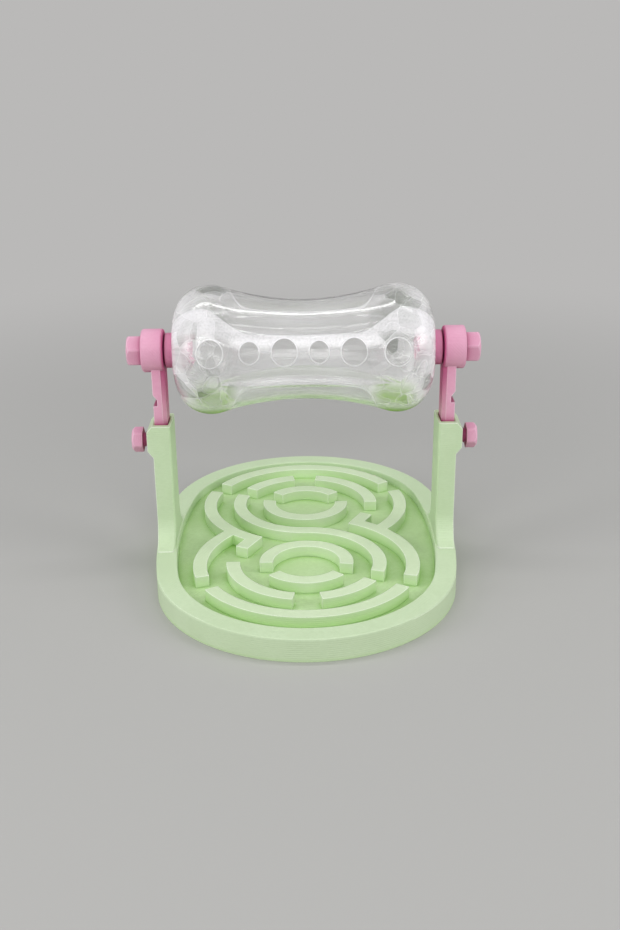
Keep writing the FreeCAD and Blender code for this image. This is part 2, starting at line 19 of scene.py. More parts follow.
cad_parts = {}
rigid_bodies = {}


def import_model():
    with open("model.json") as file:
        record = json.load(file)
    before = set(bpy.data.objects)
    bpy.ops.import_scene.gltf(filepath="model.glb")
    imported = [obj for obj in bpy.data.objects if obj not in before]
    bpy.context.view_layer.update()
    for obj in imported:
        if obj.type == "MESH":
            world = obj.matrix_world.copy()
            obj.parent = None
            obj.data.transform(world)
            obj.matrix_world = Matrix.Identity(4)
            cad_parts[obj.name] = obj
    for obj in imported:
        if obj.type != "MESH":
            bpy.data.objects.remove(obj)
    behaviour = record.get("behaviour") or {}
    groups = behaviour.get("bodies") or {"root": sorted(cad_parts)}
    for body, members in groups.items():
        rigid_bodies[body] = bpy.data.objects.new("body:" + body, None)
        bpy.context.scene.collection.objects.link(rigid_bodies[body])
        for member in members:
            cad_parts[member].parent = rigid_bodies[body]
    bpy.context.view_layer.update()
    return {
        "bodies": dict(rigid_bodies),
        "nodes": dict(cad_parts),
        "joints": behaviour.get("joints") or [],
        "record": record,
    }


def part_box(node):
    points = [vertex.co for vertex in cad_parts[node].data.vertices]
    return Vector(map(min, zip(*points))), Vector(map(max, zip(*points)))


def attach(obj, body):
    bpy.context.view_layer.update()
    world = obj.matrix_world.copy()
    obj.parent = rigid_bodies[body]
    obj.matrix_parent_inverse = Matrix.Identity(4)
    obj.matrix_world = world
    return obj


MM = 0.001

# The Mix node's sockets when it mixes colours. Its names alone don't tell them apart.
MIX_FIRST = 6
MIX_SECOND = 7
MIX_COLOUR = 2

# What the finishes' methods take and pass on.
Tree = bpy.types.NodeTree
Socket = bpy.types.NodeSocket

log = logging.getLogger("puzzle_feeder")


# Colour and node helpers


def linear_colour(hex_code: str) -> tuple[float, float, float, float]:
    """Turn an sRGB hex colour into the linear colour that the shaders take.

    Args:
        hex_code: Six hex digits after a number sign.

    Returns:
        Linear red, green and blue, and an alpha of 1.
    """
    channels = [int(hex_code[start : start + 2], 16) / 255 for start in (1, 3, 5)]
    # The constants are those of the sRGB standard.
    linear = [c / 12.92 if c <= 0.04045 else ((c + 0.055) / 1.055) ** 2.4 for c in channels]
    return (linear[0], linear[1], linear[2], 1.0)


def add_node(
    tree: Tree, kind: str, sockets: dict[str | int, Any] | None = None, **options: Any
) -> bpy.types.Node:
    """Add one node, set its options, and fill its sockets with values or links.

    Args:
        tree: The node tree that takes the node.
        kind: Blender's name for the kind of node.
        sockets: What goes into each input, by name or number: a plain value, an output to link, or
            a node, which stands for its first output.
        options: The node's own settings, such as operation.

    Returns:
        The new node.
    """
    node = tree.nodes.new(kind)
    for name, value in options.items():
        setattr(node, name, value)
    for key, value in (sockets or {}).items():
        if isinstance(value, bpy.types.Node):
            value = value.outputs[0]
        if isinstance(value, Socket):
            tree.links.new(value, node.inputs[key])
        else:
            node.inputs[key].default_value = value
    return node


def empty_material(name: str) -> tuple[bpy.types.Material, Tree]:
    """Make a material with an empty node tree.

    Args:
        name: The material's name.

    Returns:
        The material and its node tree.
    """
    material = bpy.data.materials.new(name)
    material.use_nodes = True
    material.node_tree.nodes.clear()
    return material, material.node_tree


# Finishes


class PrintAxis(Enum):
    """The way a part was turned on the printer's bed: its layers lie square to this axis."""

    X = 0
    Y = 1
    Z = 2


@dataclass(frozen=True)
class PrintedPla:
    """Matte PLA, printed in layers. The eye gets a chalky pastel with fine lines along the sides.

    Top faces show the slanted strokes of the nozzle instead, and all edges are a little soft, with a
    thin pale line painted along them: a painted highlight. Tight corners are painted in a deeper
    tone than the open faces: painted shade, standing in for light that gets into the plastic.
    """

    name: str
    colour: str
    shade_colour: str
    # A deeper tone, painted into tight corners as shade.
    corner_shade_colour: str
    # A paler tone, painted along the edges as a highlight.
    edge_highlight_colour: str
    axis: PrintAxis
    ior: float = 1.46
    roughness_low: float = 0.5
    roughness_high: float = 0.66
    # Real layers are 0.2 mm and strokes 0.45 mm apart. Both are drawn coarser, so that they show.
    layer_pitch: float = 1.15 * MM
    stroke_pitch: float = 1.3 * MM
    relief: float = 0.08 * MM
    bump_strength: float = 0.6
    # The lines waver over the first size, and fade and come back over the second.
    waver_size: float = 35 * MM
    fade_size: float = 9 * MM
    # How far a face's direction lies along the print axis, where it starts to count as flat and
    # where it fully does.
    flat_start: float = 0.86
    flat_full: float = 0.97
    edge_radius: float = 0.95 * MM
    # How far the rounded direction agrees with the face's own, where the painted highlight along the
    # edges is full and where it ends.
    edge_highlight_full: float = 0.91
    edge_highlight_end: float = 0.995
    # How far the painted corner shade looks for nearby forms.
    corner_shade_reach: float = 13 * MM
    # The shares of the sky seen at which the painted corner shade is full, and at which it ends.
    corner_shade_full: float = 0.15
    corner_shade_end: float = 0.75
    cloud_size: float = 28 * MM
    grain_size: float = 0.8 * MM
    # Clouds times grain: the shade colour is full at the first value, and ends at the second.
    shade_full: float = 0.16
    shade_end: float = 0.36
    # The grain's usual lowest and highest value, its part in the relief, and the share that its
    # distances along the layers shrink to, which draws it out.
    grain_low: float = 0.3
    grain_high: float = 0.7
    grain_relief: float = 0.35
    grain_squeeze: float = 0.35

    def material(self) -> bpy.types.Material:
        """Build the finish.

        Returns:
            The finished material.
        """
        material, tree = empty_material(self.name)
        texture_place = add_node(tree, "ShaderNodeTexCoord")
        place = texture_place.outputs["Object"]
        flat = self.flat_share(tree, texture_place.outputs["Normal"])
        grain = self.grain(tree, place)
        height = add_node(
            tree,
            "ShaderNodeMath",
            {0: grain, 1: self.grain_relief, 2: self.ridges(tree, place, flat)},
            operation="MULTIPLY_ADD",
        )
        soft_edge = add_node(tree, "ShaderNodeBevel", {"Radius": self.edge_radius}, samples=8)
        edge_highlight = self.edge_highlight_share(tree, soft_edge.outputs["Normal"])
        bump = add_node(
            tree,
            "ShaderNodeBump",
            {
                "Strength": self.bump_strength,
                "Distance": self.relief,
                "Height": height,
                "Normal": soft_edge,
            },
        )
        roughness = add_node(
            tree,
            "ShaderNodeMapRange",
            {
                "Value": grain,
                "From Min": self.grain_low,
                "From Max": self.grain_high,
                "To Min": self.roughness_low,
                "To Max": self.roughness_high,
            },
        )
        shader = add_node(
            tree,
            "ShaderNodeBsdfPrincipled",
            {
                "Base Color": self.tones(tree, place, grain, edge_highlight),
                "Roughness": roughness,
                "IOR": self.ior,
                "Normal": bump,
            },
        )
        add_node(tree, "ShaderNodeOutputMaterial", {"Surface": shader})
        return material

    def flat_share(self, tree: Tree, normal: Socket) -> Socket:
        """Tell top and bottom faces from sides.

        Args:
            tree: The material's nodes.
            normal: The surface's direction.

        Returns:
            1 on faces that lie in one layer, 0 on sides.
        """
        parts = add_node(tree, "ShaderNodeSeparateXYZ", {"Vector": normal})
        along = add_node(
            tree, "ShaderNodeMath", {0: parts.outputs[self.axis.value]}, operation="ABSOLUTE"
        )
        share = add_node(
            tree,
            "ShaderNodeMapRange",
            {"Value": along, "From Min": self.flat_start, "From Max": self.flat_full},
            interpolation_type="SMOOTHSTEP",
        )
        return share.outputs["Result"]

    def ridges(self, tree: Tree, place: Socket, flat: Socket) -> Socket:
        """Layer ridges on the sides and nozzle strokes on the flat faces.

        Args:
            tree: The material's nodes.
            place: Object coordinates.
            flat: 1 on flat faces, 0 on sides.

        Returns:
            The height of both patterns, from -1 to 1.
        """
        waver = add_node(
            tree, "ShaderNodeTexNoise", {"Vector": place, "Scale": 1 / self.waver_size, "Detail": 2.0}
        )
        parts = add_node(tree, "ShaderNodeSeparateXYZ", {"Vector": place})
        along = parts.outputs[self.axis.value]
        across = [parts.outputs[axis.value] for axis in PrintAxis if axis is not self.axis]
        slant = add_node(tree, "ShaderNodeMath", {0: across[0], 1: across[1]}, operation="ADD")
        waves = []
        for distance, pitch in (
            (along, self.layer_pitch), (slant.outputs["Value"], self.stroke_pitch * math.sqrt(2))
        ):
            phase = add_node(
                tree,
                "ShaderNodeMath",
                {0: distance, 1: 2 * math.pi / pitch, 2: waver},
                operation="MULTIPLY_ADD",
            )
            wave = add_node(tree, "ShaderNodeMath", {0: phase}, operation="SINE")
            waves.append(wave)
        pattern = add_node(tree, "ShaderNodeMix", {0: flat, 2: waves[0], 3: waves[1]})
        depth = add_node(
            tree, "ShaderNodeTexNoise", {"Vector": place, "Scale": 1 / self.fade_size, "Detail": 1.0}
        )
        faded = add_node(tree, "ShaderNodeMath", {0: pattern, 1: depth}, operation="MULTIPLY")
        return faded.outputs["Value"]

    def grain(self, tree: Tree, place: Socket) -> Socket:
        """Fine speckle, drawn out a little along the layers.

        Args:
            tree: The material's nodes.
            place: Object coordinates.

        Returns:
            A value round 0.5.
        """
        scale = [self.grain_squeeze] * len(PrintAxis)
        scale[self.axis.value] = 1.0
        drawn_out = add_node(tree, "ShaderNodeMapping", {"Vector": place, "Scale": scale})
        speckle = add_node(
            tree,
            "ShaderNodeTexNoise",
            {"Vector": drawn_out, "Scale": 1 / self.grain_size, "Detail": 3.0, "Roughness": 0.65},
        )
        return speckle.outputs["Fac"]

    def tones(self, tree: Tree, place: Socket, grain: Socket, edge_highlight: Socket) -> Socket:
        """The pastel with faint clouds and speckle in it, a painted highlight along the edges and
        painted shade in the corners.

        Args:
            tree: The material's nodes.
            place: Object coordinates.
            grain: The fine speckle.
            edge_highlight: 1 on edges, 0 on faces.

        Returns:
            The surface's colour.
        """
        clouds = add_node(
            tree, "ShaderNodeTexNoise", {"Vector": place, "Scale": 1 / self.cloud_size, "Detail": 2.0}
        )
        mottle = add_node(tree, "ShaderNodeMath", {0: clouds, 1: grain}, operation="MULTIPLY")
        open_share = add_node(
            tree,
            "ShaderNodeMapRange",
            {"Value": mottle, "From Min": self.shade_full, "From Max": self.shade_end},
        )
        tone = linear_colour(self.shade_colour)
        # The edges get a painted highlight, and the corners painted shade.
        for share, next_colour in (
            (open_share.outputs["Result"], self.colour),
            (edge_highlight, self.edge_highlight_colour),
            (self.corner_shade_share(tree), self.corner_shade_colour),
        ):
            mixed = add_node(
                tree,
                "ShaderNodeMix",
                {0: share, MIX_FIRST: tone, MIX_SECOND: linear_colour(next_colour)},
                data_type="RGBA",
            )
            tone = mixed.outputs[MIX_COLOUR]
        return tone

    def edge_highlight_share(self, tree: Tree, soft_normal: Socket) -> Socket:
        """Find the edges, where a highlight is painted: there the rounded direction differs from
        the face's own.

        Args:
            tree: The material's nodes.
            soft_normal: The surface's direction with rounded edges.

        Returns:
            1 on edges, 0 on faces.
        """
        surface = add_node(tree, "ShaderNodeNewGeometry")
        likeness = add_node(
            tree,
            "ShaderNodeVectorMath",
            {0: soft_normal, 1: surface.outputs["Normal"]},
            operation="DOT_PRODUCT",
        )
        share = add_node(
            tree,
            "ShaderNodeMapRange",
            {
                "Value": likeness.outputs["Value"],
                "From Min": self.edge_highlight_full,
                "From Max": self.edge_highlight_end,
                "To Min": 1.0,
                "To Max": 0.0,
            },
        )
        return share.outputs["Result"]

    def corner_shade_share(self, tree: Tree) -> Socket:
        """Find the corners between one form and the next, where shade is painted in.

        Args:
            tree: The material's nodes.

        Returns:
            1 deep in a corner, 0 on open faces.
        """
        sky_seen = add_node(
            tree, "ShaderNodeAmbientOcclusion", {"Distance": self.corner_shade_reach}, samples=8
        )
        share = add_node(
            tree,
            "ShaderNodeMapRange",
            {
                "Value": sky_seen.outputs["AO"],
                "From Min": self.corner_shade_full,
                "From Max": self.corner_shade_end,
                "To Min": 1.0,
                "To Max": 0.0,
            },
        )
        return share.outputs["Result"]


@dataclass(frozen=True)
class ClearPetg:
    """Clear PETG, printed in layers. The eye gets frosted plastic with windows and crisp rims.

    Air between the printed strokes makes the wall milky at the front, at the back and in the two
    lobes. A band along the upper side of the holes is nearly white: partly milky plastic, partly a
    painted highlight. Above and below, the waist keeps a clear window with fine lines in it. The
    windows' borders, the rims of the holes and the seams in the lobes are paler than the rest.
    Between the seams the wall is creased into small facets. The milky plastic passes light on, and
    the lowest part of the lobes is painted in the tray's green: a painted reflection.
    """

    name: str
    axle_height: float
    tint: str = "#F7F7F7"
    haze_colour: str = "#F7F5F8"
    ior: float = 1.5
    clear_roughness: float = 0.06
    milky_roughness: float = 0.3
    relief: float = 0.05 * MM
    bump_strength: float = 0.6
    # How much of the light in the milky plastic is passed on, and how much the wall's shadow lets
    # through.
    glow: float = 0.3
    shadow_clearness: float = 0.86
    # A painted reflection of the tray's green in the lobes: it starts and is full this far below
    # the axle.
    tray_reflection_colour: str = "#82AC1E"
    tray_reflection_start: float = 23 * MM
    tray_reflection_full: float = 32 * MM
    # The darkest facet in the lobes. The others lie between it and the tint.
    facet_shade: str = "#AFB4AD"
    facet_contrast: float = 2.0
    facet_tilt: float = 0.16
    # The milky zones face forwards and backwards, tipped up at the front by this angle.
    zone_tilt_degrees: float = 15.9
    # Half the zone's width as an angle about the axle: narrow along the waist, wider at the lobes.
    zone_half_degrees: float = 43.5
    zone_spread_degrees: float = 48.0
    spread_start: float = 26 * MM
    spread_end: float = 42.3 * MM
    spread_power: float = 3.4
    border_degrees: float = 1.6
    # The band's two edges as angles above the zone's middle: crisp on top, blurred at its foot.
    # Both rise towards the lobes.
    band_top_degrees: float = 15.0
    band_top_rise_degrees: float = 23.0
    band_top_blur_degrees: float = 1.5
    band_foot_degrees: float = -1.0
    band_foot_rise_degrees: float = 13.0
    band_foot_blur_degrees: float = 6.0
    band_rise_start: float = 28 * MM
    band_rise_end: float = 56 * MM
    # How much of the wall is milky, from 0 to 1, and what each mark on it adds.
    window_haze: float = 0.02
    zone_haze: float = 0.07
    # The band's haze is partly a painted highlight.
    band_highlight_haze: float = 0.42
    streak_haze: float = 0.08
    border_haze: float = 0.35
    rim_haze: float = 0.6
    seam_haze: float = 0.2
    facet_haze: float = 0.12
    # Haze that carries the painted reflection of the tray.
    tray_reflection_haze: float = 0.7
    end_haze: float = 0.18
    end_start: float = 54 * MM
    end_full: float = 66 * MM
    rim_width: float = 1.3 * MM
    # How far the rounded direction agrees with the wall's own, where a rim starts and is full.
    rim_start: float = 0.995
    rim_full: float = 0.93
    seam_size: float = 11 * MM
    seam_bend: float = 5 * MM
    seam_width: float = 0.028
    lobe_start: float = 34 * MM
    lobe_full: float = 46 * MM
    speckle_size: float = 1.1 * MM
    # The band is dimmed by the depth up to the first noise value, and whole from the second.
    speckle_start: float = 0.3
    speckle_full: float = 0.6
    speckle_depth: float = 0.3
    # The streaks are 30 mm long and about 2 mm apart at the waist. Real strokes are 0.45 mm wide.
    streak_length: float = 30 * MM
    streaks_round: float = 14.0
    # Streaks above the first value start to be milky, and those above the second fully are.
    streak_start: float = 0.42
    streak_full: float = 0.62

    def material(self) -> bpy.types.Material:
        """Build the finish.

        Returns:
            The finished material.
        """
        material, tree = empty_material(self.name)
        place = add_node(tree, "ShaderNodeTexCoord").outputs["Object"]
        along, angle = self.axle_coordinates(tree, place)
        reach = add_node(tree, "ShaderNodeMath", {0: along}, operation="ABSOLUTE").outputs["Value"]
        in_lobe = add_node(
            tree,
            "ShaderNodeMapRange",
            {"Value": reach, "From Min": self.lobe_start, "From Max": self.lobe_full},
            interpolation_type="SMOOTHSTEP",
        ).outputs["Result"]
        tray_reflection_share = self.tray_reflection_share(tree, place, in_lobe)
        seams, facets = self.creases(tree, place, in_lobe)
        facet = add_node(tree, "ShaderNodeSeparateXYZ", {"Vector": facets})
        streaks = self.streaks(tree, along, angle)
        milky_streaks = add_node(
            tree,
            "ShaderNodeMapRange",
            {"Value": streaks, "From Min": self.streak_start, "From Max": self.streak_full},
            interpolation_type="SMOOTHSTEP",
        )
        finer_marks = (
            (milky_streaks.outputs["Result"], self.streak_haze),
            (seams, self.seam_haze),
            (facet.outputs["X"], self.facet_haze),
            # The painted reflection of the tray, low in the lobes.
            (tray_reflection_share, self.tray_reflection_haze),
        )
        haze = self.haze(tree, place, reach, angle, finer_marks)
        bump = add_node(
            tree,
            "ShaderNodeBump",
            {
                "Strength": self.bump_strength,
                "Distance": self.relief,
                "Height": streaks,
                "Normal": self.facet_normal(tree, facets),
            },
        )
        clear_tone, milky_tone = self.tones(tree, facet.outputs["Y"], tray_reflection_share)
        tone = add_node(
            tree,
            "ShaderNodeMix",
            {0: haze, MIX_FIRST: clear_tone, MIX_SECOND: milky_tone},
            data_type="RGBA",
        )
        roughness = add_node(
            tree,
            "ShaderNodeMapRange",
            {"Value": haze, "To Min": self.clear_roughness, "To Max": self.milky_roughness},
        )
        clearness = add_node(tree, "ShaderNodeMath", {0: 1.0, 1: haze}, operation="SUBTRACT")
        plastic = add_node(
            tree,
            "ShaderNodeBsdfPrincipled",
            {
                "Base Color": tone.outputs[MIX_COLOUR],
                "Roughness": roughness,
                "IOR": self.ior,
                "Transmission Weight": clearness,
                "Normal": bump,
            },
        )
        passed_on = add_node(tree, "ShaderNodeBsdfTranslucent", {"Color": milky_tone})
        glow_share = add_node(tree, "ShaderNodeMath", {0: haze, 1: self.glow}, operation="MULTIPLY")
        glowing = add_node(tree, "ShaderNodeMixShader", {0: glow_share, 1: plastic, 2: passed_on})
        add_node(
            tree,
            "ShaderNodeOutputMaterial",
            {"Surface": self.let_light_through(tree, glowing.outputs["Shader"])},
        )
        return material

    def tones(self, tree: Tree, facet_side: Socket, tray_reflection_share: Socket) -> tuple[Socket, Socket]:
        """The colours of the clear plastic and of the milky plastic.

        Args:
            tree: The material's nodes.
            facet_side: A value of each facet's own, from -0.5 to 0.5.
            tray_reflection_share: 1 at the bottom of a lobe, 0 on the rest of the roller.

        Returns:
            The clear plastic's colour, darker on some facets, and the milky plastic's colour, with a
            painted reflection of the tray's green at the bottom of the lobes.
        """
        darkness = add_node(
            tree, "ShaderNodeMath", {0: facet_side, 1: self.facet_contrast}, operation="MULTIPLY"
        )
        tones = []
        for share, first, second in (
            (darkness.outputs["Value"], self.tint, self.facet_shade),
            (tray_reflection_share, self.haze_colour, self.tray_reflection_colour),
        ):
            tone = add_node(
                tree,
                "ShaderNodeMix",
                {0: share, MIX_FIRST: linear_colour(first), MIX_SECOND: linear_colour(second)},
                data_type="RGBA",
            )
            tones.append(tone.outputs[MIX_COLOUR])
        return tones[0], tones[1]

    def tray_reflection_share(self, tree: Tree, place: Socket, in_lobe: Socket) -> Socket:
        """Find where a lobe hangs lowest over the tray, however the roller is turned or raised. There
        the tray's green is painted in, as a painted reflection.

        Args:
            tree: The material's nodes.
            place: Object coordinates.
            in_lobe: 1 in the lobes, 0 along the waist.

        Returns:
            1 at the bottom of a lobe, 0 on the rest of the roller.
        """
        from_axle = add_node(
            tree,
            "ShaderNodeVectorMath",
            {0: place, 1: (0.0, 0.0, self.axle_height)},
            operation="SUBTRACT",
        )
        # In the room's own directions, Z tells how low a point hangs on a roller that has turned.
        in_room = add_node(
            tree,
            "ShaderNodeVectorTransform",
            {"Vector": from_axle},
            vector_type="VECTOR",
            convert_from="OBJECT",
            convert_to="WORLD",
        )
        parts = add_node(tree, "ShaderNodeSeparateXYZ", {"Vector": in_room})
        low = add_node(
            tree,
            "ShaderNodeMapRange",
            {
                "Value": parts.outputs["Z"],
                "From Min": -self.tray_reflection_start,
                "From Max": -self.tray_reflection_full,
            },
            interpolation_type="SMOOTHSTEP",
        )
        share = add_node(tree, "ShaderNodeMath", {0: low, 1: in_lobe}, operation="MULTIPLY")
        return share.outputs["Value"]

    def creases(self, tree: Tree, place: Socket, in_lobe: Socket) -> tuple[Socket, Socket]:
        """Small facets in the lobes, with thin seams between them.

        Args:
            tree: The material's nodes.
            place: Object coordinates.
            in_lobe: 1 in the lobes, 0 along the waist.

        Returns:
            1 on the seams and 0 between them, and a direction of its own for each facet, whose
            parts run from -0.5 to 0.5 and fade to 0 along the waist.
        """
        waver = add_node(
            tree, "ShaderNodeTexNoise", {"Vector": place, "Scale": 1 / self.seam_size, "Detail": 1.0}
        )
        bent = add_node(
            tree,
            "ShaderNodeVectorMath",
            {0: waver.outputs["Color"], 1: (self.seam_bend,) * 3, 2: place},
            operation="MULTIPLY_ADD",
        )
        cell_sockets = {"Vector": bent, "Scale": 1 / self.seam_size}
        borders = add_node(tree, "ShaderNodeTexVoronoi", cell_sockets, feature="DISTANCE_TO_EDGE")
        cells = add_node(tree, "ShaderNodeTexVoronoi", cell_sockets, feature="F1")
        lines = add_node(
            tree,
            "ShaderNodeMapRange",
            {"Value": borders, "From Min": self.seam_width, "From Max": 0.0},
            interpolation_type="SMOOTHSTEP",
        )
        seams = add_node(tree, "ShaderNodeMath", {0: lines, 1: in_lobe}, operation="MULTIPLY")
        centred = add_node(
            tree,
            "ShaderNodeVectorMath",
            {0: cells.outputs["Color"], 1: (0.5, 0.5, 0.5)},
            operation="SUBTRACT",
        )
        facets = add_node(
            tree, "ShaderNodeVectorMath", {0: centred, "Scale": in_lobe}, operation="SCALE"
        )
        return seams.outputs["Value"], facets.outputs["Vector"]

    def facet_normal(self, tree: Tree, facets: Socket) -> Socket:
        """Tilt each facet a little its own way.

        Args:
            tree: The material's nodes.
            facets: Each facet's own direction.

        Returns:
            The surface's direction.
        """
        surface = add_node(tree, "ShaderNodeNewGeometry")
        tilted = add_node(
            tree,
            "ShaderNodeVectorMath",
            {0: facets, 1: (self.facet_tilt,) * 3, 2: surface.outputs["Normal"]},
            operation="MULTIPLY_ADD",
        )
        unit = add_node(tree, "ShaderNodeVectorMath", {0: tilted}, operation="NORMALIZE")
        return unit.outputs["Vector"]

    def let_light_through(self, tree: Tree, plastic: Socket) -> Socket:
        """Lamps shine through the clear wall, so its shadow is as faint as a real one's.

        Args:
            tree: The material's nodes.
            plastic: The plastic's own shader.

        Returns:
            The shader with most of each shadow ray let through.
        """
        path = add_node(tree, "ShaderNodeLightPath")
        window = add_node(
            tree, "ShaderNodeBsdfTransparent", {"Color": (*(self.shadow_clearness,) * 3, 1.0)}
        )
        mixed = add_node(
            tree, "ShaderNodeMixShader", {0: path.outputs["Is Shadow Ray"], 1: plastic, 2: window}
        )
        return mixed.outputs["Shader"]

    def axle_coordinates(self, tree: Tree, place: Socket) -> tuple[Socket, Socket]:
        """Distance along the axle and turn about it.

        Args:
            tree: The material's nodes.
            place: Object coordinates.

        Returns:
            The distance in metres, and the turn in radians, from 0 at the front upwards.
        """
        centred = add_node(
            tree,
            "ShaderNodeMapping",
            {"Vector": place, "Location": (0.0, 0.0, -self.axle_height), "Scale": (1.0, -1.0, 1.0)},
        )
        parts = add_node(tree, "ShaderNodeSeparateXYZ", {"Vector": centred})
        turn = add_node(
            tree,
            "ShaderNodeMath",
            {0: parts.outputs["Z"], 1: parts.outputs["Y"]},
            operation="ARCTAN2",
        )
        return parts.outputs["X"], turn.outputs["Value"]

    def haze(
        self,
        tree: Tree,
        place: Socket,
        reach: Socket,
        angle: Socket,
        finer_marks: tuple[tuple[Socket, float], ...],
    ) -> Socket:
        """How milky the wall is at each place. The band adds a painted highlight, and one of the
        finer marks a painted reflection of the tray.

        Args:
            tree: The material's nodes.
            place: Object coordinates.
            reach: Distance from the roller's middle.
            angle: Turn about the axle.
            finer_marks: The finer marks, each with the haze that it adds.

        Returns:
            0 where the wall is clear, 1 where it is white.
        """
        above_middle = add_node(
            tree,
            "ShaderNodeMath",
            {0: angle, 1: math.radians(self.zone_tilt_degrees)},
            operation="SUBTRACT",
        ).outputs["Value"]
        # A quarter turn each way: the angle from the middle of the nearer of the two milky zones.
        off_middle = add_node(
            tree, "ShaderNodeMath", {0: above_middle, 1: math.pi / 2}, operation="PINGPONG"
        )
        past_zone = self.past_border(
            tree,
            off_middle.outputs["Value"],
            self.spread(tree, reach),
            self.zone_half_degrees,
            self.zone_spread_degrees,
        )
        off_border = add_node(tree, "ShaderNodeMath", {0: past_zone}, operation="ABSOLUTE")
        border_width = math.radians(self.border_degrees)
        shares = []
        for measure, none_at, full_at in (
            (past_zone, border_width, 0.0),
            (off_border.outputs["Value"], border_width, 0.0),
            (reach, self.end_start, self.end_full),
        ):
            share = add_node(
                tree,
                "ShaderNodeMapRange",
                {"Value": measure, "From Min": none_at, "From Max": full_at},
                interpolation_type="SMOOTHSTEP",
            )
            shares.append(share)
        in_zone, on_border, near_end = shares
        total = self.window_haze
        for share, amount in (
            (in_zone, self.zone_haze - self.window_haze),
            (self.band(tree, place, reach, above_middle), self.band_highlight_haze),
            (on_border, self.border_haze),
            (near_end, self.end_haze),
            (self.rim(tree), self.rim_haze),
            *finer_marks,
        ):
            total = add_node(
                tree,
                "ShaderNodeMath",
                {0: share, 1: amount, 2: total},
                operation="MULTIPLY_ADD",
                use_clamp=True,
            )
        return total.outputs["Value"]

    def band(self, tree: Tree, place: Socket, reach: Socket, above_middle: Socket) -> Socket:
        """The speckled, nearly white band along the upper side of the holes: partly milky plastic,
        partly a painted highlight.

        Args:
            tree: The material's nodes.
            place: Object coordinates.
            reach: Distance from the roller's middle.
            above_middle: The angle above the middle of the front zone.

        Returns:
            1 in the band, 0 elsewhere.
        """
        rise = add_node(
            tree,
            "ShaderNodeMapRange",
            {"Value": reach, "From Min": self.band_rise_start, "From Max": self.band_rise_end},
            interpolation_type="SMOOTHSTEP",
        ).outputs["Result"]
        past_top = self.past_border(
            tree, above_middle, rise, self.band_top_degrees, self.band_top_rise_degrees
        )
        past_foot = self.past_border(
            tree, above_middle, rise, self.band_foot_degrees, self.band_foot_rise_degrees
        )
        top_blur = math.radians(self.band_top_blur_degrees)
        foot_blur = math.radians(self.band_foot_blur_degrees)
        grain = add_node(
            tree,
            "ShaderNodeTexNoise",
            {"Vector": place, "Scale": 1 / self.speckle_size, "Detail": 1.0},
        )
        speckle = add_node(
            tree,
            "ShaderNodeMapRange",
            {
                "Value": grain,
                "From Min": self.speckle_start,
                "From Max": self.speckle_full,
                "To Min": 1 - self.speckle_depth,
            },
        )
        within = []
        for beyond, none_at, full_at in (
            (past_top, 0.0, -top_blur), (past_foot, -foot_blur, foot_blur)
        ):
            step = add_node(
                tree,
                "ShaderNodeMapRange",
                {"Value": beyond, "From Min": none_at, "From Max": full_at},
                interpolation_type="SMOOTHSTEP",
            )
            within.append(step)
        share = within[0]
        for mask in (within[1], speckle):
            share = add_node(tree, "ShaderNodeMath", {0: share, 1: mask}, operation="MULTIPLY")
        return share.outputs["Value"]

    def spread(self, tree: Tree, reach: Socket) -> Socket:
        """How far the milky zones have widened, from the waist to the lobes.

        Args:
            tree: The material's nodes.
            reach: Distance from the roller's middle.

        Returns:
            0 along the waist, rising to 1 at the lobes.
        """
        share = add_node(
            tree,
            "ShaderNodeMapRange",
            {"Value": reach, "From Min": self.spread_start, "From Max": self.spread_end},
        )
        curve = add_node(
            tree, "ShaderNodeMath", {0: share, 1: self.spread_power}, operation="POWER"
        )
        return curve.outputs["Value"]

    def past_border(
        self, tree: Tree, turn: Socket, share: Socket, waist_degrees: float, shift_degrees: float
    ) -> Socket:
        """How far a point lies beyond a border that shifts from the waist to the lobes.

        Args:
            tree: The material's nodes.
            turn: The point's angle.
            share: 0 along the waist, 1 at the lobes.
            waist_degrees: Where the border lies along the waist.
            shift_degrees: How far it has shifted at the lobes.

        Returns:
            The angle beyond the border, in radians, below 0 before it.
        """
        border = add_node(
            tree,
            "ShaderNodeMath",
            {0: share, 1: math.radians(shift_degrees), 2: math.radians(waist_degrees)},
            operation="MULTIPLY_ADD",
        )
        beyond = add_node(tree, "ShaderNodeMath", {0: turn, 1: border}, operation="SUBTRACT")
        return beyond.outputs["Value"]

    def rim(self, tree: Tree) -> Socket:
        """Find the sharp edges of the holes.

        Args:
            tree: The material's nodes.

        Returns:
            1 on the edges, 0 on the smooth wall.
        """
        rounded = add_node(tree, "ShaderNodeBevel", {"Radius": self.rim_width}, samples=6)
        surface = add_node(tree, "ShaderNodeNewGeometry")
        likeness = add_node(
            tree,
            "ShaderNodeVectorMath",
            {0: rounded, 1: surface.outputs["Normal"]},
            operation="DOT_PRODUCT",
        )
        share = add_node(
            tree,
            "ShaderNodeMapRange",
            {
                "Value": likeness.outputs["Value"],
                "From Min": self.rim_start,
                "From Max": self.rim_full,
            },
            interpolation_type="SMOOTHSTEP",
        )
        return share.outputs["Result"]

    def streaks(self, tree: Tree, along: Socket, angle: Socket) -> Socket:
        """Long streaks side by side round the roller.

        Args:
            tree: The material's nodes.
            along: Distance along the axle.
            angle: Turn about the axle.

        Returns:
            A value round 0.5.
        """
        length = add_node(
            tree, "ShaderNodeMath", {0: along, 1: 1 / self.streak_length}, operation="MULTIPLY"
        )
        round_axle = []
        for operation in ("COSINE", "SINE"):
            part = add_node(tree, "ShaderNodeMath", {0: angle}, operation=operation)
            scaled = add_node(
                tree, "ShaderNodeMath", {0: part, 1: self.streaks_round}, operation="MULTIPLY"
            )
            round_axle.append(scaled)
        vector = add_node(
            tree, "ShaderNodeCombineXYZ", {"X": length, "Y": round_axle[0], "Z": round_axle[1]}
        )
        noise = add_node(
            tree,
            "ShaderNodeTexNoise",
            {"Vector": vector, "Scale": 1.0, "Detail": 3.0, "Roughness": 0.6},
        )
        return noise.outputs["Fac"]


